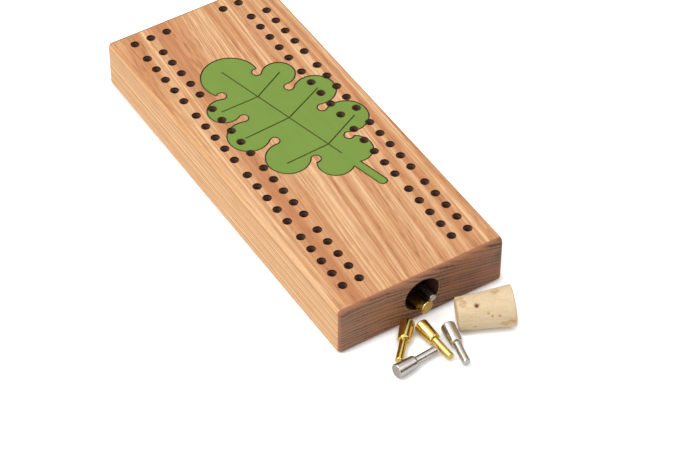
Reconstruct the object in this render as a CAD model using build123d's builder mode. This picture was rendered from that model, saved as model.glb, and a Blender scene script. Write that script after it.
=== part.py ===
# Travel cribbage board: a solid hardwood block with two peg tracks on its top face, a round peg
# store bored into one end, a tapered cork that stops the store, and six turned metal pegs.
# Units are millimetres. The origin is the centre of the block's underside, +Z is up, +Y points to
# the end with the start row, and the peg store opens in the -Y end.
from build123d import *
from math import atan2, cos, degrees, hypot, radians, sin, sqrt, tan
import os

# ---------------------------------------------------------------- the block
board_length = 152.4
board_width = 63.5
board_thickness = 19.05
end_edge_radius = 2.5         # the two edges where an end face meets the top
corner_radius = 1.5           # long edges of the top, and the four upright edges
foot_radius = 1.2             # all round the underside

# ---------------------------------------------------------------- the peg tracks
hole_diameter = 3.2
hole_depth = 9.5              # to the corner of the drill's point
hole_tip_angle = 118.0
hole_pitch = 6.35             # hole to hole along a track
column_spacing = 6.35         # outer to inner column of a track
holes_per_group = 5
groups_per_track = 4
group_step = 8.41             # last hole of a group to the first of the next
start_step = 8.74             # start row to the first group
side_margin = 7.58            # outer column to the side face
start_margin = 6.62           # start row to the far end

# ---------------------------------------------------------------- the peg store
bore_diameter = 13.4
bore_depth = 75.0             # to the corner of the drill's point
bore_tip_angle = 118.0
bore_height = 10.3            # axis above the underside

# ---------------------------------------------------------------- the green leaf on the top
leaf_fill_depth = 0.4
leaf_groove_width = 0.5       # the dark line burnt round the green
leaf_centre_x = 2.0
leaf_centre_y = 10.0
leaf_turn = 14.0              # anticlockwise, seen from above
leaf_tip_y = 38.0             # ends of the blade, from the leaf's own centre
leaf_base_y = -31.0
leaf_lobes = [                # tip of each right-hand lobe, and the bottom of the notch above it
    ((10.5, -28.0), (6.0, -21.0)),
    ((21.5, -14.5), (9.5, -5.0)),
    ((23.0, 4.0), (9.0, 10.4)),
    ((18.5, 19.0), (6.5, 23.6)),
]
notch_mouth = 3.4             # height of a notch where its lobes end
notch_depth = 3.0             # from there to the notch's bottom
stalk_length = 13.0
stalk_width = 2.6
vein_width = 0.5
vein_rise = 4.5               # from a side vein's root up to the tip of its lobe
vein_share = 0.75             # how far towards the tip of its lobe a vein reaches
veined_tips = [tip for tip, notch in leaf_lobes[1:]]
midrib_margin = 6.0           # green left beyond each end of the midrib's line

# ---------------------------------------------------------------- the pegs
butt_diameter = 5.0
shoulder_diameter = 4.4       # the head tapers a little towards the shank
head_length = 7.8
shoulder_bevel = 0.8
bevel_bulge = 0.7             # how full the rounded bevel is, where a flat one has 0.5
neck_diameter = 3.2
shank_diameter = 2.7
shank_length = 8.5
peg_edge_ease = 0.35

# ---------------------------------------------------------------- the cork
cork_small_diameter = 11.1
cork_large_diameter = 14.0
cork_length = 18.9
cork_edge_ease = 0.5

# ---------------------------------------------------------------- where the loose pieces lie
# For each lying peg: x of its butt's centre, that centre's distance in front of the block, and the
# way its shank points. The pegs all but touch one another, as a tipped-out handful does.
brass_left_x = -6.7
brass_left_distance = 1.9
brass_left_heading = -133.0
brass_middle_x = -3.7
brass_middle_distance = 4.9
brass_middle_heading = -86.6
steel_front_x = -21.3
steel_front_distance = 17.6
steel_front_heading = 6.0
steel_right_x = 3.5
steel_right_distance = 9.9
steel_right_heading = -101.5
cork_x = 7.1                  # centre of the small end
cork_distance = 9.5           # in front of the block
cork_heading = -23.2

# The two pegs in the mouth of the store: x of the outer end's centre, how far that end stands
# out of the block, and how far the peg is turned to the left as it goes in.
brass_mouth_x = 0.5
brass_mouth_out = 2.75
brass_mouth_turn = 13.0
steel_mouth_x = 3.9
steel_mouth_out = 0.6
steel_mouth_turn = 5.0
store_clearance = 0.15        # between these pegs and the wall of the store

# ---------------------------------------------------------------- worked out from the sizes
front_y = -board_length / 2
bore_radius = bore_diameter / 2
peg_length = head_length + shank_length
start_row_y = board_length / 2 - start_margin
outer_column_x = board_width / 2 - side_margin
inner_column_x = outer_column_x - column_spacing
third_start_x = inner_column_x - column_spacing

track_rows = []
group_start_y = start_row_y - start_step
for group in range(groups_per_track):
    for hole in range(holes_per_group):
        track_rows.append(group_start_y - hole * hole_pitch)
    group_start_y = track_rows[-1] - group_step

hole_places = [(side * third_start_x, start_row_y) for side in (-1, 1)]
for column_x in (outer_column_x, inner_column_x):
    for side in (-1, 1):
        hole_places += [(side * column_x, row_y) for row_y in [start_row_y] + track_rows]

top_plane = Plane.XY.offset(board_thickness)
leaf_plane = Plane(
    origin=(leaf_centre_x, leaf_centre_y, board_thickness),
    x_dir=(cos(radians(leaf_turn)), sin(radians(leaf_turn)), 0),
    z_dir=(0, 0, 1),
)


def point_depth(diameter, tip_angle):
    """Depth of a drill's point."""
    return diameter / 2 / tan(radians(tip_angle / 2))


# ---------------------------------------------------------------- the leaf's outline and veins
with BuildSketch(leaf_plane) as leaf_outline:
    with BuildLine():
        for side in (-1, 1):
            lobe_start = (0, leaf_base_y)
            for (lobe_x, lobe_y), (notch_x, notch_y) in leaf_lobes:
                lobe_end = (side * (notch_x + notch_depth), notch_y - notch_mouth / 2)
                ThreePointArc(lobe_start, (side * lobe_x, lobe_y), lobe_end)
                lobe_start = (lobe_end[0], notch_y + notch_mouth / 2)
                ThreePointArc(lobe_end, (side * notch_x, notch_y), lobe_start)
        ThreePointArc((-lobe_start[0], lobe_start[1]), (0, leaf_tip_y), lobe_start)
    make_face()
    with Locations((0, leaf_base_y)):
        SlotCenterToCenter(2 * stalk_length, stalk_width, rotation=90)

with BuildSketch(leaf_plane) as leaf_veins:
    with Locations((0, (leaf_tip_y + leaf_base_y) / 2)):
        SlotCenterToCenter(leaf_tip_y - leaf_base_y - 2 * midrib_margin, vein_width, rotation=90)
    for lobe_x, lobe_y in veined_tips:
        vein_run = vein_share * hypot(lobe_x, vein_rise)
        vein_slope = degrees(atan2(vein_rise, lobe_x))
        vein_middle_y = lobe_y - vein_rise * (1 - vein_share / 2)
        for side in (-1, 1):
            with Locations((side * vein_share * lobe_x / 2, vein_middle_y)):
                SlotCenterToCenter(vein_run, vein_width, rotation=side * vein_slope)

# ---------------------------------------------------------------- the block
with BuildPart() as board:
    with BuildSketch(Plane.XY):
        Rectangle(board_width, board_length)
    extrude(amount=board_thickness)
    top_edges = board.faces().sort_by(Axis.Z)[-1].edges()
    fillet(top_edges.filter_by(Axis.X), end_edge_radius)
    top_edges = board.faces().sort_by(Axis.Z)[-1].edges()
    fillet(top_edges.filter_by(Axis.Y), corner_radius)
    fillet(board.faces().sort_by(Axis.Z)[0].edges(), foot_radius)

    # the engraved bed of the leaf and the line burnt round it
    with BuildSketch(leaf_plane):
        offset(leaf_outline.sketch_local, leaf_groove_width)
    extrude(amount=-leaf_fill_depth, mode=Mode.SUBTRACT)

    # blind peg holes with drilled points
    with BuildSketch(top_plane):
        with Locations(*hole_places):
            Circle(hole_diameter / 2)
    extrude(amount=-hole_depth, mode=Mode.SUBTRACT)
    hole_point = point_depth(hole_diameter, hole_tip_angle)
    with Locations(*[(x, y, board_thickness - hole_depth - hole_point / 2) for x, y in hole_places]):
        Cone(0, hole_diameter / 2, hole_point, mode=Mode.SUBTRACT)

    # the peg store in the near end
    with BuildSketch(Plane((0, front_y, bore_height), x_dir=(0, 1, 0), z_dir=(0, 0, 1))):
        with BuildLine():
            Polyline(
                (0, 0),
                (0, bore_radius),
                (bore_depth, bore_radius),
                (bore_depth + point_depth(bore_diameter, bore_tip_angle), 0),
                close=True,
            )
        make_face()
    revolve(axis=Axis((0, front_y, bore_height), (0, 1, 0)), mode=Mode.SUBTRACT)
board.part.label = "board"

# ---------------------------------------------------------------- the green fill of the leaf
with BuildPart() as leaf_fill:
    with BuildSketch(leaf_plane):
        add(leaf_outline.sketch_local)
        add(leaf_veins.sketch_local, mode=Mode.SUBTRACT)
    extrude(amount=-leaf_fill_depth)
    with BuildSketch(top_plane):
        with Locations(*hole_places):
            Circle(hole_diameter / 2)
    extrude(amount=-leaf_fill_depth, mode=Mode.SUBTRACT)
leaf_fill.part.label = "leaf_fill"


# ---------------------------------------------------------------- the pegs
def make_peg(name, butt, heading, pitch):
    """Turn one peg: its butt's centre, the way its shank points, and how far that way rises."""
    along = (
        cos(radians(heading)) * cos(radians(pitch)),
        sin(radians(heading)) * cos(radians(pitch)),
        sin(radians(pitch)),
    )
    across = (-sin(radians(heading)), cos(radians(heading)), 0)
    peg_plane = Plane(origin=butt, x_dir=along, z_dir=Vector(*along).cross(Vector(*across)))
    shoulder_start = head_length - shoulder_bevel
    bevel_height = (shoulder_diameter - neck_diameter) / 2
    with BuildPart() as peg:
        with BuildSketch(peg_plane):
            with BuildLine():
                head_side = Polyline(
                    (0, 0),
                    (0, butt_diameter / 2 - peg_edge_ease),
                    (peg_edge_ease, butt_diameter / 2),
                    (shoulder_start, shoulder_diameter / 2),
                )
                shoulder = ThreePointArc(
                    head_side @ 1,
                    (
                        head_length - (1 - bevel_bulge) * shoulder_bevel,
                        neck_diameter / 2 + bevel_bulge * bevel_height,
                    ),
                    (head_length, neck_diameter / 2),
                )
                Polyline(
                    shoulder @ 1,
                    (head_length, shank_diameter / 2),
                    (peg_length - peg_edge_ease, shank_diameter / 2),
                    (peg_length, shank_diameter / 2 - peg_edge_ease),
                    (peg_length, 0),
                    (0, 0),
                )
            make_face()
        revolve(axis=Axis(butt, along))
    peg.part.label = name
    return peg.part


def store_height(x, radius):
    """Height of the axis of a round piece that lies on the store's wall at x."""
    return bore_height - sqrt((bore_radius - radius - store_clearance) ** 2 - x**2)


def rise_in_store(outer_x, outer_z, turn, rings):
    """Steepest rise, in degrees, that any ring (distance inwards, radius) asks of the peg."""
    rises = []
    for distance, radius in rings:
        x = outer_x - distance * sin(radians(turn))
        rises.append(degrees(atan2(store_height(x, radius) - outer_z, distance)))
    return max(rises)


# A peg on the table lies on its tapered head, so its shank dips a little.
head_taper = atan2(
    (butt_diameter - shoulder_diameter) / 2, head_length - shoulder_bevel - peg_edge_ease
)
lying_height = peg_edge_ease * sin(head_taper) + butt_diameter / 2 * cos(head_taper)
pegs = []
for peg_name, butt_x, distance, heading in [
    ("brass_peg_left", brass_left_x, brass_left_distance, brass_left_heading),
    ("brass_peg_middle", brass_middle_x, brass_middle_distance, brass_middle_heading),
    ("steel_peg_front", steel_front_x, steel_front_distance, steel_front_heading),
    ("steel_peg_right", steel_right_x, steel_right_distance, steel_right_heading),
]:
    butt = (butt_x, front_y - distance, lying_height)
    pegs.append(make_peg(peg_name, butt, heading, -degrees(head_taper)))

# This one lies in the mouth of the store with its butt outwards.
brass_z = store_height(brass_mouth_x, butt_diameter / 2)
brass_rise = rise_in_store(
    brass_mouth_x,
    brass_z,
    brass_mouth_turn,
    [(head_length - shoulder_bevel, shoulder_diameter / 2), (peg_length, shank_diameter / 2)],
)
brass_butt = (brass_mouth_x, front_y - brass_mouth_out, brass_z)
pegs.append(make_peg("brass_peg_mouth", brass_butt, 90 + brass_mouth_turn, brass_rise))

# This one lies beside it with its shank outwards, so its butt is found from its tip.
steel_z = store_height(steel_mouth_x, shank_diameter / 2)
steel_rise = rise_in_store(
    steel_mouth_x,
    steel_z,
    steel_mouth_turn,
    [(shank_length + shoulder_bevel, shoulder_diameter / 2), (peg_length, butt_diameter / 2)],
)
steel_in = peg_length * cos(radians(steel_rise))
steel_butt = (
    steel_mouth_x - steel_in * sin(radians(steel_mouth_turn)),
    front_y - steel_mouth_out + steel_in * cos(radians(steel_mouth_turn)),
    steel_z + peg_length * sin(radians(steel_rise)),
)
pegs.append(make_peg("steel_peg_mouth", steel_butt, steel_mouth_turn - 90, -steel_rise))

# ---------------------------------------------------------------- the cork, lying on its side
cork_half_angle = atan2((cork_large_diameter - cork_small_diameter) / 2, cork_length)
cork_along = (
    cos(radians(cork_heading)) * cos(cork_half_angle),
    sin(radians(cork_heading)) * cos(cork_half_angle),
    sin(cork_half_angle),
)
cork_across = (-sin(radians(cork_heading)), cos(radians(cork_heading)), 0)
cork_centre = (cork_x, front_y - cork_distance, cork_small_diameter / 2 * cos(cork_half_angle))
cork_plane = Plane(
    origin=cork_centre,
    x_dir=cork_along,
    z_dir=Vector(*cork_along).cross(Vector(*cork_across)),
)
with BuildPart() as cork:
    with BuildSketch(cork_plane):
        with BuildLine():
            Polyline(
                (0, 0),
                (0, cork_small_diameter / 2),
                (cork_length, cork_large_diameter / 2),
                (cork_length, 0),
                close=True,
            )
        make_face()
    revolve(axis=Axis(cork_centre, cork_along))
    fillet(cork.edges().filter_by(GeomType.CIRCLE), cork_edge_ease)
cork.part.label = "cork"

# ---------------------------------------------------------------- one file for each piece
os.makedirs("parts", exist_ok=True)
for piece in [board.part, leaf_fill.part, cork.part] + pegs:
    export_step(piece, f"parts/{piece.label}.step")
    print(piece.label, round(piece.volume, 2))
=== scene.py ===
# %% [markdown]
# # A travel cribbage board
# The real object is a block of red oak with two tracks of peg holes, a green painted leaf let into
# its top, a peg store bored into one end, the cork that stops the store, and six turned metal pegs.
# The construction is already packed as a fixed frame, so this lesson starts by loading it. What
# Blender adds is the finish of every surface, and finer meshes for the small turned pieces.

# %% Load the frame
import math
import bpy
import numpy as np
from mathutils import Matrix, Vector


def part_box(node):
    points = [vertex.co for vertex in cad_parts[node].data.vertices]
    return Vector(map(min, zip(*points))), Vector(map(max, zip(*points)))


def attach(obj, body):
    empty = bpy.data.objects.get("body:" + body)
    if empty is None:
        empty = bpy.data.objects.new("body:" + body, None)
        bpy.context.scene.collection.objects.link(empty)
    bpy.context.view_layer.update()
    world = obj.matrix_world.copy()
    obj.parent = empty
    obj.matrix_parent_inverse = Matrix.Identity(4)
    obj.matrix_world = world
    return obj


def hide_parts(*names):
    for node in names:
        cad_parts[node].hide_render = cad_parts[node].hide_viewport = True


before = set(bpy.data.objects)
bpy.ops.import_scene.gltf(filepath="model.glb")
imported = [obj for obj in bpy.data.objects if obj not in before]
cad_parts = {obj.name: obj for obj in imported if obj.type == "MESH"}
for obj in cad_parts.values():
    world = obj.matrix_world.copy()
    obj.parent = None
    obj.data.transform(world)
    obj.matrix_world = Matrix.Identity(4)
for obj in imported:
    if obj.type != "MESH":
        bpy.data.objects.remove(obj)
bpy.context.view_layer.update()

MM = 0.001
board_low, board_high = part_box("board")
bpy.ops.object.select_all(action="DESELECT")

# %% [markdown]
# ## The camera
# The board is seen from above its near left corner through a long lens, so its edges stay nearly
# parallel. The camera is placed by a direction and a distance from the point it looks at, and then
# tilted a little on its own axis, as a hand-held one is.

# %% Camera
view_azimuth = math.radians(32.858)
view_elevation = math.radians(45.843)
view_distance = 0.9064
view_roll = math.radians(0.67)
look_at = Vector((0.0003, -0.0322, 0))
focal_length = 139.0                        # millimetres, on a sensor 36 mm wide

toward_camera = Vector((
    -math.sin(view_azimuth) * math.cos(view_elevation),
    -math.cos(view_azimuth) * math.cos(view_elevation),
    math.sin(view_elevation),
))
camera = bpy.data.objects.new("camera", bpy.data.cameras.new("camera"))
bpy.context.scene.collection.objects.link(camera)
camera.data.sensor_width = 36
camera.data.lens = focal_length
aim = (-toward_camera).to_track_quat("-Z", "Y").to_matrix() @ Matrix.Rotation(view_roll, 3, "Z")
camera.matrix_world = Matrix.Translation(look_at + toward_camera * view_distance) @ aim.to_4x4()
bpy.context.scene.camera = camera
bpy.context.scene.view_settings.view_transform = "Standard"
print("camera at", camera.matrix_world.translation)

# %% [markdown]
# ## Arithmetic with sockets
# A procedural material is mostly arithmetic. The small class below wraps one output of a node, so
# that adding or multiplying two of them adds the Math node that does it. The second class is one
# material: it adds every other kind of node, and it knows the place on the piece in millimetres.


# %% Shader arithmetic
class Signal:
    """One output of a node. Python's operators on it add Math nodes to the same material."""

    def __init__(self, finish, socket):
        self.finish = finish
        self.socket = socket

    def math(self, operation, *others):
        sockets = dict(enumerate((self, *others)))
        return self.finish.add("Math", {"operation": operation}, sockets)

    def __add__(self, other):
        return self.math("ADD", other)

    __radd__ = __add__

    def __mul__(self, other):
        return self.math("MULTIPLY", other)

    __rmul__ = __mul__

    def __sub__(self, other):
        return self.math("SUBTRACT", other)

    def __rsub__(self, other):
        return self.math("MULTIPLY_ADD", -1, other)

    def __truediv__(self, other):
        return self.math("DIVIDE", other)

    def __pow__(self, other):
        return self.math("POWER", other)


class Finish:
    """A material that is made of expressions. Its lengths are in millimetres."""

    def __init__(self, name, roughness=0.5, metallic=0.0):
        self.material = bpy.data.materials.new(name)
        self.material.use_nodes = True
        self.tree = self.material.node_tree
        self.shader = self.tree.nodes["Principled BSDF"]
        self.shader.inputs["Roughness"].default_value = roughness
        self.shader.inputs["Metallic"].default_value = metallic

    def feed(self, socket, value):
        if isinstance(value, Signal):
            self.tree.links.new(value.socket, socket)
        else:
            socket.default_value = value

    def add(self, kind, settings, sockets, output=0):
        """Add a node with its settings, fill its sockets and return one output as a Signal."""
        node = self.tree.nodes.new("ShaderNode" + kind)
        for name, value in settings.items():
            setattr(node, name, value)
        for name, value in sockets.items():
            self.feed(node.inputs[name], value)
        return Signal(self, node.outputs[output])

    def place(self):
        """x, y and z on the object, in millimetres."""
        metres = self.add("TexCoord", {}, {}, "Object")
        point = self.add("VectorMath", {"operation": "SCALE"}, {"Vector": metres, "Scale": 1 / MM})
        return [self.add("SeparateXYZ", {}, {"Vector": point}, axis) for axis in "XYZ"]

    def facing(self, axis):
        """1 where the surface faces straight along an axis, either way, and 0 across it."""
        normal = self.add("TexCoord", {}, {}, "Normal")
        return self.add("SeparateXYZ", {}, {"Vector": normal}, axis).math("ABSOLUTE")

    def attribute(self, name):
        return self.add("Attribute", {"attribute_name": name}, {}, "Fac")

    def colour(self, value):
        self.feed(self.shader.inputs["Base Color"], value)

    def point(self, x, y, z):
        return self.add("CombineXYZ", {}, {"X": x, "Y": y, "Z": z})

    def noise(self, point, scale=1.0, detail=2.0, roughness=0.5):
        sockets = {"Vector": point, "Scale": scale, "Detail": detail, "Roughness": roughness}
        return self.add("TexNoise", {}, sockets)

    def step(self, value, low, high):
        """0 below low, 1 above high and smooth between. It falls where low is the larger."""
        sockets = {"Value": value, "From Min": low, "From Max": high}
        if low > high:
            sockets = {"Value": value, "From Min": high, "From Max": low, "To Min": 1, "To Max": 0}
        return self.add("MapRange", {"interpolation_type": "SMOOTHSTEP"}, sockets)

    def mix(self, share, first, second):
        """The first colour where share is 0, and the second where it is 1."""
        sockets = {"Factor": share, "A": first, "B": second}
        node = self.tree.nodes.new("ShaderNodeMix")
        node.data_type = "RGBA"
        for socket in node.inputs:
            if socket.enabled:
                self.feed(socket, sockets[socket.name])
        return Signal(self, next(output for output in node.outputs if output.enabled))

    def bump(self, height, distance):
        """Turn a height between 0 and 1 into a normal. Distance is its full depth."""
        normal = self.add("Bump", {}, {"Height": height, "Distance": distance * MM})
        self.feed(self.shader.inputs["Normal"], normal)


def srgb(red, green, blue):
    """A colour as a picture program gives it, 0 to 255, as the linear values that shaders use."""
    shares = [value / 255 for value in (red, green, blue)]
    linear = [s / 12.92 if s < 0.04045 else ((s + 0.055) / 1.055) ** 2.4 for s in shares]
    return (*linear, 1.0)


# %% [markdown]
# ## Red oak
# The block is one piece of wood, so its grain runs through it: curved lines on the end, straight
# lines on the sides and broad bands on the top are cuts through the same rings. The material works
# on the place inside the block, with the tree's middle far below it, so all faces agree by
# themselves. A picture of wood laid on each face would not meet at the edges.

# %% The rings of the tree
ring_centre_x = -22.0
ring_centre_z = -120.0
ring_spacing = 1.35
ring_phase = 0.28
ring_drift = 3.0                            # how far the rings wander from true circles
ring_waver = 1.0                            # and how far they do so over a few millimetres
ring_unevenness = 1.9                       # how much the years differ in width
grain_slope = 0.1                           # how much the middle's fibres run across the block


def find_early_wood(wood, x, y, z):
    """1 at the dark start of each year's ring, fading to 0 in its later wood."""
    drift = (wood.noise(wood.point(x * 0.02, y * 0.006, z * 0.02)) - 0.5) * ring_drift
    waver = (wood.noise(wood.point(x * 0.14, y * 0.008, z * 0.14)) - 0.5) * ring_waver
    across = x - ring_centre_x
    up = z - ring_centre_z
    radius = (across * across + up * up) ** 0.5 + drift + waver
    pace = wood.noise(wood.point(radius * 0.55, x * 0.03, 0.5), detail=1.0) * ring_unevenness
    ring = (radius / ring_spacing + pace + ring_phase).math("FRACT")
    return wood.step(ring, 0.7, 0.12) * wood.step(ring, 0.0, 0.1)


# %% [markdown]
# On the long faces red oak shows three sizes of line: bands of darker early wood, streaks a
# millimetre wide, and short open pores. Across the fibres the same pores are dots in dark rings.
# The share of end grain follows the way the surface faces, so a rounded edge fades from one to
# the other as real wood does.

# %% Oak colours
oak_light = srgb(244, 199, 152)
oak_heart = srgb(196, 122, 78)
oak_tan = srgb(216, 155, 102)
oak_band = srgb(206, 140, 90)
oak_pore = srgb(172, 110, 70)
oak_side = srgb(250, 208, 142)
end_light = srgb(160, 114, 84)
end_dark = srgb(80, 52, 38)
end_red_and_edge_highlight = srgb(178, 114, 76)
# Painted shade over the char of the cuts: the walls of the holes, and darker their rims and the
# bore
hole_wall = srgb(140, 108, 92)
burnt_and_shaded_wood = srgb(74, 52, 42)               # the rims of the holes, and the bore

# %% [markdown]
# The top and the sides show the fibres along their length. Each kind of line is a noise that is
# stretched far along y, and one redder stripe runs the length of the top. The pores and fibres can
# be felt as well as seen, so the same values give the height for the bump.

# %% Long grain
heart_from_x = -22.6                        # the redder stripe, across the block
heart_to_x = -17.2


def colour_long_grain(oak, place, grain_x, early, facing_x):
    """Colour of the long faces, and their relief between 0 and 1."""
    x, y, z = place
    streak = oak.noise(oak.point(grain_x * 1.7, y * 0.012, z * 1.3), detail=1.0)
    fibre = oak.noise(oak.point(grain_x * 3.4, y * 0.04, z * 3.4), roughness=0.6)
    pore = oak.noise(oak.point(grain_x * 4.0, y * 0.13, z * 4.0), detail=1.0)
    pore = oak.step(pore, 0.56, 0.64)
    broad = oak.noise(oak.point(grain_x * 0.3, y * 0.003, z * 0.3), detail=1.0)
    broad = oak.step(broad, 0.46, 0.56)
    colour = oak.mix(oak.step(streak * 0.55 + fibre * 0.45, 0.43, 0.57), oak_light, oak_tan)
    colour = oak.mix((early * 0.75 + broad * 0.28).math("MINIMUM", 1), colour, oak_band)

    ragged_x = grain_x + (oak.noise(oak.point(x * 0.4, y * 0.03, 0.5)) - 0.5) * 2.5
    heart = oak.step(ragged_x, heart_from_x - 0.4, heart_from_x + 0.4)
    heart = heart * oak.step(ragged_x, heart_to_x + 1.5, heart_to_x - 1.5)
    colour = oak.mix(heart * oak.step(facing_x, 0.6, 0.3) * 0.5, colour, oak_heart)
    colour = oak.mix(pore * (early * 0.6 + 0.35), colour, oak_pore)

    on_side = oak.step(facing_x, 0.3, 0.9)
    colour = oak.mix(on_side * 0.3, colour, oak_side)
    colour = oak.mix(early ** 3 * on_side * 0.6, colour, oak_pore)
    return colour, 1 - pore * 0.7 + fibre * 0.2


# %% [markdown]
# The ends are much darker, because cut fibres drink the oil. The rings cross them as lines, the
# rays cut through the rings, and the eased edges are painted lighter and redder, a painted
# highlight for the light they catch.

# %% End grain
def colour_end_grain(oak, place, early, facing_y):
    """Colour of the two ends, down to the eased edges round them."""
    x, y, z = place
    rays = oak.noise(oak.point(x * 2.0, y * 0.1, z * 0.35))
    dots = oak.step(oak.noise(oak.point(x * 2.8, 1.5, z * 2.8)), 0.5, 0.68)
    darker_right = (x + 2) * 0.008
    dark = early * 0.9 + dots * 0.15 + (rays - 0.5) * 0.8 + darker_right
    colour = oak.mix(dark.math("MAXIMUM", 0).math("MINIMUM", 1), end_light, end_dark)
    warm = oak.noise(oak.point(x * 0.07, y * 0.07, z * 0.12), detail=1.0)
    colour = oak.mix(oak.step(warm, 0.45, 0.7) * 0.5, colour, end_red_and_edge_highlight)
    # Painted highlight: the eased edges round the ends are painted lighter and redder
    return oak.mix(oak.step(facing_y, 0.98, 0.4) * 0.75, colour, end_red_and_edge_highlight)


# %% [markdown]
# Drilling and engraving heat the wood, so its cut walls are darker than its face, and on top of
# that char the holes, the leaf's bed and the bore are darkened with painted shade. The block is one
# mesh, so the cut walls are found by their place: anything under the top that isn't near an outer
# face is a hole or the leaf's bed, and anything near the bore's axis is the bore.

# %% Cut wood
block_half_length = board_high.y / MM
block_top = board_high.z / MM
holes_within_x = 28.0                       # no hole reaches further out than this
holes_to_end = 3.0                          # nor nearer to an end than this
darkest_rim_depth = 0.6                        # the rims of the holes are the darkest
bore_height = 10.3
bore_radius = 6.7


def colour_cuts(oak, place, colour):
    """The wood's colour, with char and painted shade in the holes, the engraving and the bore."""
    x, y, z = place
    near_end = y.math("ABSOLUTE")
    last_hole = block_half_length - holes_to_end
    in_hole = oak.step(z, block_top - 0.03, block_top - 0.12)
    in_hole = in_hole * oak.step(x.math("ABSOLUTE"), holes_within_x, holes_within_x - 0.2)
    in_hole = in_hole * oak.step(near_end, last_hole, last_hole - 0.2)
    # Painted shade and char: the holes' walls darken, darkest in a band at their rims
    at_rim = oak.step(z, block_top - darkest_rim_depth - 0.3, block_top - darkest_rim_depth)
    colour = oak.mix(in_hole, colour, oak.mix(at_rim, hole_wall, burnt_and_shaded_wood))

    # Painted shade and char inside the bore
    up = z - bore_height
    in_bore = oak.step((x * x + up * up) ** 0.5, bore_radius + 0.2, bore_radius + 0.1)
    in_bore = in_bore * oak.step(near_end, block_half_length - 0.1, block_half_length - 0.6)
    return oak.mix(in_bore, colour, burnt_and_shaded_wood)


# %% [markdown]
# The finish puts these together. The fibres lean a little in the middle of the block and run
# straight along its sides, so the place across the grain is bent before the rings are read.

# %% Oak
def make_oak():
    oak = Finish("oiled_red_oak", roughness=0.5)
    x, y, z = place = oak.place()
    facing_x = oak.facing("X")
    facing_y = oak.facing("Y")
    share_out = x / (board_high.x / MM)
    grain_x = x - y * grain_slope * (1 - share_out * share_out)
    early = find_early_wood(oak, grain_x, y, z)
    long_grain, relief = colour_long_grain(oak, place, grain_x, early, facing_x)
    end_grain = colour_end_grain(oak, place, early, facing_y)
    colour = oak.mix(oak.step(facing_y, 0.2, 0.42), long_grain, end_grain)
    oak.colour(colour_cuts(oak, place, colour))
    oak.bump(relief, distance=0.03)
    return oak.material


oak = make_oak()
print("oak nodes", len(oak.node_tree.nodes))

# %% [markdown]
# ## The green leaf
# The leaf is paint rolled into a shallow engraving, so it is matt and nearly even, with a trace of
# the wood's grain where the paint sank in. The dark line round it is the wall of the engraving,
# which the oak's colour for cut wood already covers.

# %% Leaf paint
leaf_deep = srgb(113, 143, 52)
leaf_bright = srgb(128, 158, 64)


def make_green_paint():
    paint = Finish("green_paint", roughness=0.6)
    x, y, z = paint.place()
    mottle = paint.noise(paint.point(x * 0.3, y * 0.1, z * 0.3), detail=3.0)
    sunk_grain = paint.noise(paint.point(x * 2.6, y * 0.08, z))
    paint.colour(paint.mix(mottle * 0.6 + sunk_grain * 0.4, leaf_deep, leaf_bright))
    paint.bump(sunk_grain, distance=0.02)
    return paint.material


green = make_green_paint()
print("leaf paint nodes", len(green.node_tree.nodes))

# %% [markdown]
# ## Dress the block and the leaf
# Both shapes are right as the construction gives them, so they only get their new finish.

# %% Finish the carried-over nodes
for name, finish in (("board", oak), ("leaf_fill", green)):
    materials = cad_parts[name].data.materials
    materials.clear()
    materials.append(finish)
    print(name, "is dressed in", finish.name)

# %% [markdown]
# ## Turning in edit mode
# A peg and a cork are turned on a lathe, and the same can be done by hand in edit mode. It starts
# as a flat disc. Its rim is extruded along the axis and scaled, again and again, one step for each
# point of the profile, and the last rim is filled. Each profile is a short list of distances and
# radii, with its round parts worked out as quarter circles.

# %% Lathe helpers
smooth_angle = math.radians(40)


def quarter(start, end, steps=5):
    """Points of a quarter ellipse between two (distance, radius) points, bulging outwards."""
    points = []
    for step in range(1, steps + 1):
        angle = math.pi / 2 * step / steps
        if start[1] < end[1]:
            along, outward = 1 - math.cos(angle), math.sin(angle)
        else:
            along, outward = math.sin(angle), 1 - math.cos(angle)
        distance = start[0] + (end[0] - start[0]) * along
        points.append((distance, start[1] + (end[1] - start[1]) * outward))
    return points


def turn(name, profile, vertices):
    """Turn a closed piece on the z axis from (distance, radius) points, all in millimetres."""
    distance, radius = profile[0]
    bpy.ops.object.select_all(action="DESELECT")
    bpy.ops.mesh.primitive_circle_add(
        vertices=vertices,
        radius=radius * MM,
        fill_type="TRIFAN",
        location=(0, 0, distance * MM),
    )
    piece = bpy.context.object
    piece.name = name
    bpy.ops.object.transform_apply()
    bpy.ops.object.mode_set(mode="EDIT")
    bpy.ops.mesh.select_mode(type="EDGE")
    bpy.ops.mesh.select_all(action="DESELECT")
    bpy.ops.mesh.select_non_manifold()
    for next_distance, next_radius in profile[1:]:
        lift = (0, 0, (next_distance - distance) * MM)
        bpy.ops.mesh.extrude_region_move(TRANSFORM_OT_translate={"value": lift})
        scale = next_radius / radius
        centre = (0, 0, next_distance * MM)
        bpy.ops.transform.resize(value=(scale, scale, 1), center_override=centre)
        distance, radius = next_distance, next_radius
    bpy.ops.mesh.edge_face_add()
    bpy.ops.mesh.poke()
    bpy.ops.mesh.select_all(action="SELECT")
    bpy.ops.mesh.normals_make_consistent(inside=False)
    bpy.ops.object.mode_set(mode="OBJECT")
    bpy.ops.object.shade_smooth_by_angle(angle=smooth_angle)
    print(name, "has", len(piece.data.polygons), "faces")
    return piece


def read_places(mesh):
    """The places of a mesh's vertices, one row each, in metres."""
    places = np.empty(len(mesh.vertices) * 3)
    mesh.vertices.foreach_get("co", places)
    return places.reshape(-1, 3)


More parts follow.
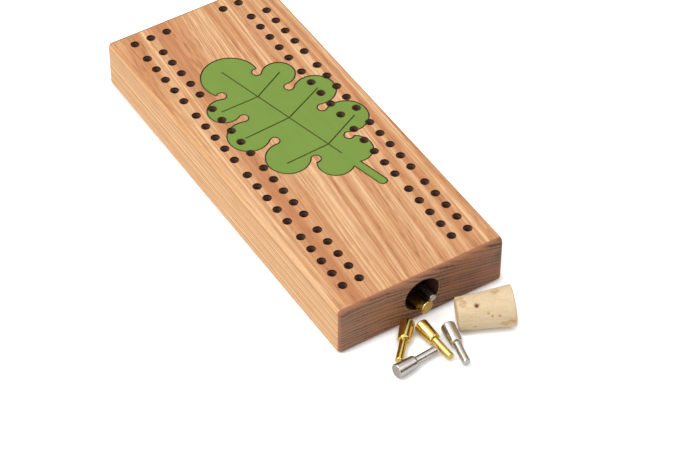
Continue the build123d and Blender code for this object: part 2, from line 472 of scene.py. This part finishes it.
def keep_profile(mesh):
    """Store each point's distance along and from the axis, in millimetres, for the materials."""
    places = read_places(mesh) / MM
    values = {"along": places[:, 2], "out": np.hypot(places[:, 0], places[:, 1])}
    for name, value in values.items():
        mesh.attributes.new(name, "FLOAT", "POINT").data.foreach_set("value", value)


# %% [markdown]
# ## Where a turned node lies
# The construction has already laid every peg and the cork in place. The node's own mesh says
# where: its longest direction is its axis, and the middles of its two ends give the exact line.

# %% Find the axis of a node
end_slice = 0.05 * MM                       # how near to its end a point counts as the end face


def find_axis(name):
    """Ends of a turned node's axis in metres, the wider end first."""
    places = read_places(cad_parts[name].data)
    middle = places.mean(axis=0)
    main = np.linalg.svd(places - middle, full_matrices=False)[2][0]
    reach = (places - middle) @ main
    ends = []
    for edge in (reach.min(), reach.max()):
        face = places[np.abs(reach - edge) < end_slice]
        centre = (face.max(axis=0) + face.min(axis=0)) / 2
        width = np.linalg.norm(face - centre, axis=1).max()
        ends.append((width, Vector(centre)))
    ends.sort(key=lambda end: -end[0])
    return ends[0][1], ends[1][1]


def lay(piece, start, end):
    """Move a mesh from the z axis to the line between two places, and apply it."""
    direction = (end - start).normalized()
    turned = direction.to_track_quat("Z", "Y").to_matrix().to_4x4()
    piece.data.transform(Matrix.Translation(start) @ turned)
    piece.data.update()


for name in ("brass_peg_left", "cork"):
    start, end = find_axis(name)
    print(name, "is", round((end - start).length / MM, 2), "mm long, from", start)

# %% [markdown]
# ## Turned metal
# The pegs came off an automatic lathe: bright, with faint rings where the tool passed, which are
# clearest on the flat butt. The rings follow the two distances that every point of the piece
# carries, so they turn with it. Handling has dulled the metal a little in places. Brass and steel
# are the same finish: steel has duller butts and is less polished.

# %% Metal
brass_bright = srgb(233, 204, 118)
brass_dull = srgb(190, 152, 72)
# The dull steel colour is tinted warm brown: a painted reflection of the oak, on top of the dulling
steel_bright = srgb(208, 203, 197)
steel_dull_and_oak_reflection = srgb(162, 152, 142)


def make_turned_metal(name, bright, dull, butt_dullness, least_roughness):
    metal = Finish(name, metallic=1.0)
    x, y, z = metal.place()
    along = metal.attribute("along")
    out = metal.attribute("out")
    handled = metal.noise(metal.point(x * 0.5, y * 0.5, z * 0.5), detail=3.0)
    tool = metal.noise(metal.point(along * 7.0, 0.5, 0.5))
    on_butt = metal.step(along, 0.05, 0.01)
    face_rings = (out * 8.0).math("SINE") * 0.5 + 0.5
    marks = metal.mix(on_butt, tool, face_rings)
    worn = handled * 0.5 + on_butt * (face_rings * 0.7 + 0.6) * butt_dullness
    metal.colour(metal.mix(worn, bright, dull))
    roughness = handled * 0.16 + on_butt * 0.2 + least_roughness
    metal.feed(metal.shader.inputs["Roughness"], roughness)
    metal.bump(metal.add("SeparateColor", {}, {"Color": marks}, "Red"), distance=0.006)
    return metal.material


brass = make_turned_metal("turned_brass", brass_bright, brass_dull, 0.4, 0.1)
# Steel's dull tone carries a painted warm reflection of the oak
steel = make_turned_metal("turned_steel", steel_bright, steel_dull_and_oak_reflection, 0.5, 0.2)
print("metal nodes", len(brass.node_tree.nodes))

# %% [markdown]
# ## The pegs
# All six pegs are one shape: a head that tapers a little towards a rounded shoulder, and a thin
# shank with an eased tip. It is turned once and copied, and each copy is laid where its node is.
# It is a hair smaller than the node, so that it never stands outside it.

# %% Peg
hair = 0.01                                 # how far the mesh stays inside its node
butt_radius = 2.5 - hair
shoulder_radius = 2.2 - hair
neck_radius = 1.6 - hair
shank_radius = 1.35 - hair
head_length = 7.8
shoulder_length = 0.8
peg_length = 16.3
ease = 0.35                                 # rounding of the butt's rim and of the tip
peg_facets = 64


def turn_peg():
    rim = 0.2                               # flat ring that keeps the face's shading flat
    profile = [(0, butt_radius - ease - rim), (0, butt_radius - ease)]
    profile += quarter((0, butt_radius - ease), (ease, butt_radius))
    profile += [(ease + rim, butt_radius - 0.005)]
    shoulder_start = (head_length - shoulder_length, shoulder_radius)
    profile += [(shoulder_start[0] - rim, shoulder_radius + 0.01), shoulder_start]
    profile += quarter(shoulder_start, (head_length, neck_radius))
    profile += [(head_length + 0.01, neck_radius - 0.1), (head_length + 0.02, shank_radius)]
    tip_start = (peg_length - hair - ease, shank_radius)
    profile += [(head_length + 0.3, shank_radius), (tip_start[0] - rim, shank_radius), tip_start]
    profile += quarter(tip_start, (peg_length - hair, shank_radius - ease))
    profile += [(peg_length - hair, shank_radius - ease - rim)]
    return turn("peg", profile, peg_facets)


first_peg = turn_peg()
keep_profile(first_peg.data)

# %% [markdown]
# ## Laying the pegs
# Each peg rides on the body of its own node, so that it moves when that node does. The first peg
# was only the pattern for the copies, and it is removed at the end.

# %% Lay the six pegs
for name in sorted(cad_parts):
    if "_peg_" not in name:
        continue
    metal_name = name.split("_")[0]
    peg = bpy.data.objects.new("turned_" + name, first_peg.data.copy())
    bpy.context.scene.collection.objects.link(peg)
    lay(peg, *find_axis(name))
    peg.data.materials.append(brass if metal_name == "brass" else steel)
    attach(peg, name)
    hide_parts(name)
    print(peg.name, "from", [round(value / MM, 1) for value in find_axis(name)[0]])
bpy.data.objects.remove(first_peg)

# %% [markdown]
# ## The cork
# The stopper is a piece of natural cork, ground to a taper and soft at both rims. Its sides are
# drawn in a little. One knot has fallen out and left a pit, and elsewhere the bark's brown veins
# come to the surface. A plain cone would show none of that, so the side is turned in many steps,
# and the pits are pushed in afterwards.

# %% Turn the cork
cork_wide, cork_narrow = find_axis("cork")
cork_length = (cork_wide - cork_narrow).length / MM
cork_narrow_radius = 5.55 - hair
cork_wide_radius = 7.0 - hair
cork_waist = 0.14                           # how far the middle of the side is drawn in
cork_rim = 0.6                              # rounding of both rims
cork_face_ring = 0.4                        # flat ring that keeps the end faces' shading flat
cork_side_steps = 44
cork_facets = 112


def cork_radius(along):
    share = along / cork_length
    straight = cork_narrow_radius + (cork_wide_radius - cork_narrow_radius) * share
    return straight - cork_waist * math.sin(math.pi * share)


def turn_cork():
    start = (cork_rim, cork_radius(cork_rim))
    end = (cork_length - cork_rim, cork_radius(cork_length - cork_rim))
    face = (0, start[1] - cork_rim)
    profile = [(0, face[1] - cork_face_ring), face]
    profile += quarter(face, start)
    for step in range(1, cork_side_steps):
        along = start[0] + (end[0] - start[0]) * step / cork_side_steps
        profile.append((along, cork_radius(along)))
    profile.append(end)
    profile += quarter(end, (cork_length, end[1] - cork_rim))
    profile.append((cork_length, end[1] - cork_rim - cork_face_ring))
    return turn("stopper", profile, cork_facets)


stopper = turn_cork()
keep_profile(stopper.data)
lay(stopper, cork_narrow, cork_wide)

# %% [markdown]
# A place on the cork's side is given by its distance from the small end and its angle from the
# top, as one would mark it with a tape. Negative angles are on the side towards the viewer.

# %% Places on the cork
cork_axis = (cork_wide - cork_narrow).normalized()
cork_left = Vector((-cork_axis.y, cork_axis.x, 0)).normalized()
cork_top = cork_axis.cross(cork_left)


def on_cork(along, degrees_left):
    angle = math.radians(degrees_left)
    outward = cork_top * math.cos(angle) + cork_left * math.sin(angle)
    return cork_narrow + (cork_axis * along + outward * cork_radius(along)) * MM


knot = on_cork(6.4, -24.5)                  # millimetres along, then degrees round
pit_marks = [(10.8, -65.5), (13.2, -67.0), (9.7, -54.5), (5.0, -100.0)]
seen_patch_marks = [(1.4, 14.0), (2.2, -8.0), (17.0, -91.0), (14.5, -99.0), (13.0, 14.8)]
far_patch_marks = [(4.0, 120.0), (12.0, 150.0), (8.0, 75.0)]
small_pits = [on_cork(*mark) for mark in pit_marks]
rust_patches = [on_cork(*mark) for mark in seen_patch_marks + far_patch_marks]
print("cork has", len(small_pits), "small pits and", len(rust_patches), "brown patches")

# %% [markdown]
# The pits are pressed in with shrink and fatten, which moves the selected points along their
# normals. It is done twice, the second time on a smaller circle, so each pit is deepest in its
# middle. The selection is cleared in code first, because the last operator leaves its own.

# %% Press the pits in
knot_radius, knot_depth = 0.7, 0.5
pit_radius, pit_depth = 0.5, 0.2


def press_in(piece, centre, radius, depth):
    """Push the points round a place on the surface into the piece, deepest in the middle."""
    for share in (1.0, 0.6):
        bpy.ops.object.select_all(action="DESELECT")
        piece.select_set(True)
        bpy.context.view_layer.objects.active = piece
        for vertex in piece.data.vertices:
            vertex.select = (vertex.co - centre).length < radius * share * MM
        bpy.ops.object.mode_set(mode="EDIT")
        bpy.ops.mesh.select_mode(type="VERT")
        bpy.ops.transform.shrink_fatten(value=-depth / 2 * MM)
        bpy.ops.object.mode_set(mode="OBJECT")


def clear_selection(piece):
    for part in (*piece.data.polygons, *piece.data.edges, *piece.data.vertices):
        part.select = False


clear_selection(stopper)
press_in(stopper, knot, knot_radius, knot_depth)
for pit in small_pits:
    clear_selection(stopper)
    press_in(stopper, pit, pit_radius, pit_depth)
print("cork from", cork_narrow, "to", cork_wide)

# %% [markdown]
# ## The cork's finish
# Cork is pale and matt, with fine cells and faint growth lines along it. The brown veins are
# ragged patches at the places that were marked above, and the knot's pit is the darkest spot.

# %% Cork finish
cork_pale = srgb(236, 212, 174)
cork_tan = srgb(222, 194, 152)
cork_rust = srgb(196, 138, 82)
cork_dark = srgb(92, 38, 12)
patch_reach = 1.8                           # how far each mark colours the cork round it
pit_reach = 0.55
knot_stain_reach = 1.3
knot_reach = 0.95


def make_cork_finish():
    cork = Finish("natural_cork", roughness=0.8)
    x, y, z = cork.place()
    along = cork.attribute("along")
    here = cork.point(x, y, z)
    cells = cork.noise(here, scale=2.2, detail=4.0, roughness=0.6)
    growth = cork.noise(cork.point(along * 0.08, z * 1.3, 0.5))
    ragged = cork.noise(here, scale=1.1, detail=3.0, roughness=0.65) - 0.5
    colour = cork.mix(cork.step(cells * 0.5 + growth * 0.5, 0.4, 0.66), cork_pale, cork_tan)

    def near(place, reach, rough):
        """1 near a place on the surface and 0 beyond its reach, with a ragged edge."""
        ends = {0: here, 1: place / MM}
        gap = cork.add("VectorMath", {"operation": "DISTANCE"}, ends, "Value")
        return cork.step(gap + ragged * rough, reach, reach * 0.5)

    swirl = cork.noise(here, detail=3.0)
    vein = cork.step((swirl - 0.5).math("ABSOLUTE"), 0.045, 0.015)
    for patch in rust_patches:
        patch_share = near(patch, patch_reach, 3.0) * (vein * 0.65 + 0.3)
        colour = cork.mix(patch_share, colour, cork_rust)
    for pit in small_pits:
        colour = cork.mix(near(pit, pit_reach, 0.5) * 0.85, colour, cork_rust)
    colour = cork.mix(near(knot, knot_stain_reach, 2.0) * 0.4, colour, cork_rust)
    colour = cork.mix(near(knot, knot_reach, 0.4), colour, cork_dark)
    cork.colour(colour)
    cork.bump(cells, distance=0.08)
    return cork.material


cork_finish = make_cork_finish()
stopper.data.materials.append(cork_finish)
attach(stopper, "cork")
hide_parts("cork")
print("cork nodes", len(cork_finish.node_tree.nodes))

# %% [markdown]
# ## The paper floor
# The board lies on white paper that runs out of the picture. The paper glows a little for the
# camera and in reflections, so it comes out white there, while the light on the object stays
# plain. The glow fades where a piece touches the paper, so the thin dark line of contact stays.

# %% Floor
paper_size = 4                              # metres, so its edge is out of sight
paper_drop = 0.1 * MM                       # keeps it clear of the underside
contact_reach = 2 * MM                      # how far the glow fades round a piece
paper_white = (0.9, 0.9, 0.9, 1)
glow_white = (1, 0.995, 0.985, 1)
black = (0, 0, 0, 1)

bpy.ops.object.select_all(action="DESELECT")
bpy.ops.mesh.primitive_plane_add(size=paper_size, location=(0, 0, -paper_drop))
floor = bpy.context.object
floor.name = "floor"
paper = Finish("white_paper", roughness=0.9)
paper.colour(paper_white)
seen = paper.add("LightPath", {}, {}, "Is Camera Ray")
mirrored = paper.add("LightPath", {}, {}, "Is Glossy Ray")
open_sky = paper.add("AmbientOcclusion", {"samples": 8}, {"Distance": contact_reach}, "AO")
glow = seen * open_sky ** 1.5 * 0.58 + mirrored * 0.1
paper.feed(paper.shader.inputs["Emission Color"], paper.mix(glow, black, glow_white))
paper.shader.inputs["Emission Strength"].default_value = 1
floor.data.materials.append(paper.material)
print("paper nodes", len(paper.tree.nodes))

# %% [markdown]
# ## The studio
# Polished metal shows the room more than its own colour. In reflections the room is bright
# overhead and dim round the horizon, which draws the dark and bright streaks along each peg. Its
# soft light on everything else is plain white, and the camera sees white behind the paper.

# %% Room
world = bpy.data.worlds.new("studio")
bpy.context.scene.world = world
world.use_nodes = True
backdrop = world.node_tree.nodes["Background"]
room_strength = 0.42
room_white = (1, 1, 1, 1)
room_dark = (0.2, 0.17, 0.15, 1)            # what polished metal mirrors near the horizon
room_softbox = (2.6, 2.6, 2.6, 1)           # and overhead
seen_white = (1 / room_strength,) * 3 + (1,)
backdrop.inputs["Strength"].default_value = room_strength


class Room(Finish):
    """The same arithmetic on the world's nodes."""

    def __init__(self, world):
        self.tree = world.node_tree


room = Room(world)
direction = room.add("TexCoord", {}, {}, "Generated")
parts = [room.add("SeparateXYZ", {}, {"Vector": direction}, axis) for axis in "XYZ"]
sideways, away, upward = parts
mirrored = room.add("LightPath", {}, {}, "Is Glossy Ray")
softbox = room.step(upward - sideways * 0.35 + away * 0.15, 0.45, 0.62)
lit = room.mix(mirrored, room_white, room.mix(softbox, room_dark, room_softbox))
seen = room.add("LightPath", {}, {}, "Is Camera Ray")
room.feed(backdrop.inputs["Color"], room.mix(seen, lit, seen_white))
print("room nodes", len(room.tree.nodes))

# %% [markdown]
# ## The lamps
# Three large square lamps aim at the middle of the board. The key lamp is high on the left, the
# fill lamp lifts the end face, and the side lamp lights the long left side. Large lamps give the
# soft shadows that the photograph has.

# %% Lamps
def add_lamp(name, place, size, power):
    lamp = bpy.data.lights.new(name, "AREA")
    lamp.size = size
    lamp.energy = power
    holder = bpy.data.objects.new(name, lamp)
    bpy.context.scene.collection.objects.link(holder)
    turned = (-Vector(place)).to_track_quat("-Z", "Y").to_matrix().to_4x4()
    holder.matrix_world = Matrix.Translation(place) @ turned
    print(name, power, "W")


add_lamp("key_lamp", place=(-0.6, 0.3, 1.25), size=0.9, power=12.5)
add_lamp("fill_lamp", place=(0.9, -0.7, 1.1), size=0.9, power=3.6)
add_lamp("side_lamp", place=(-1.2, -0.6, 0.5), size=0.7, power=3.0)
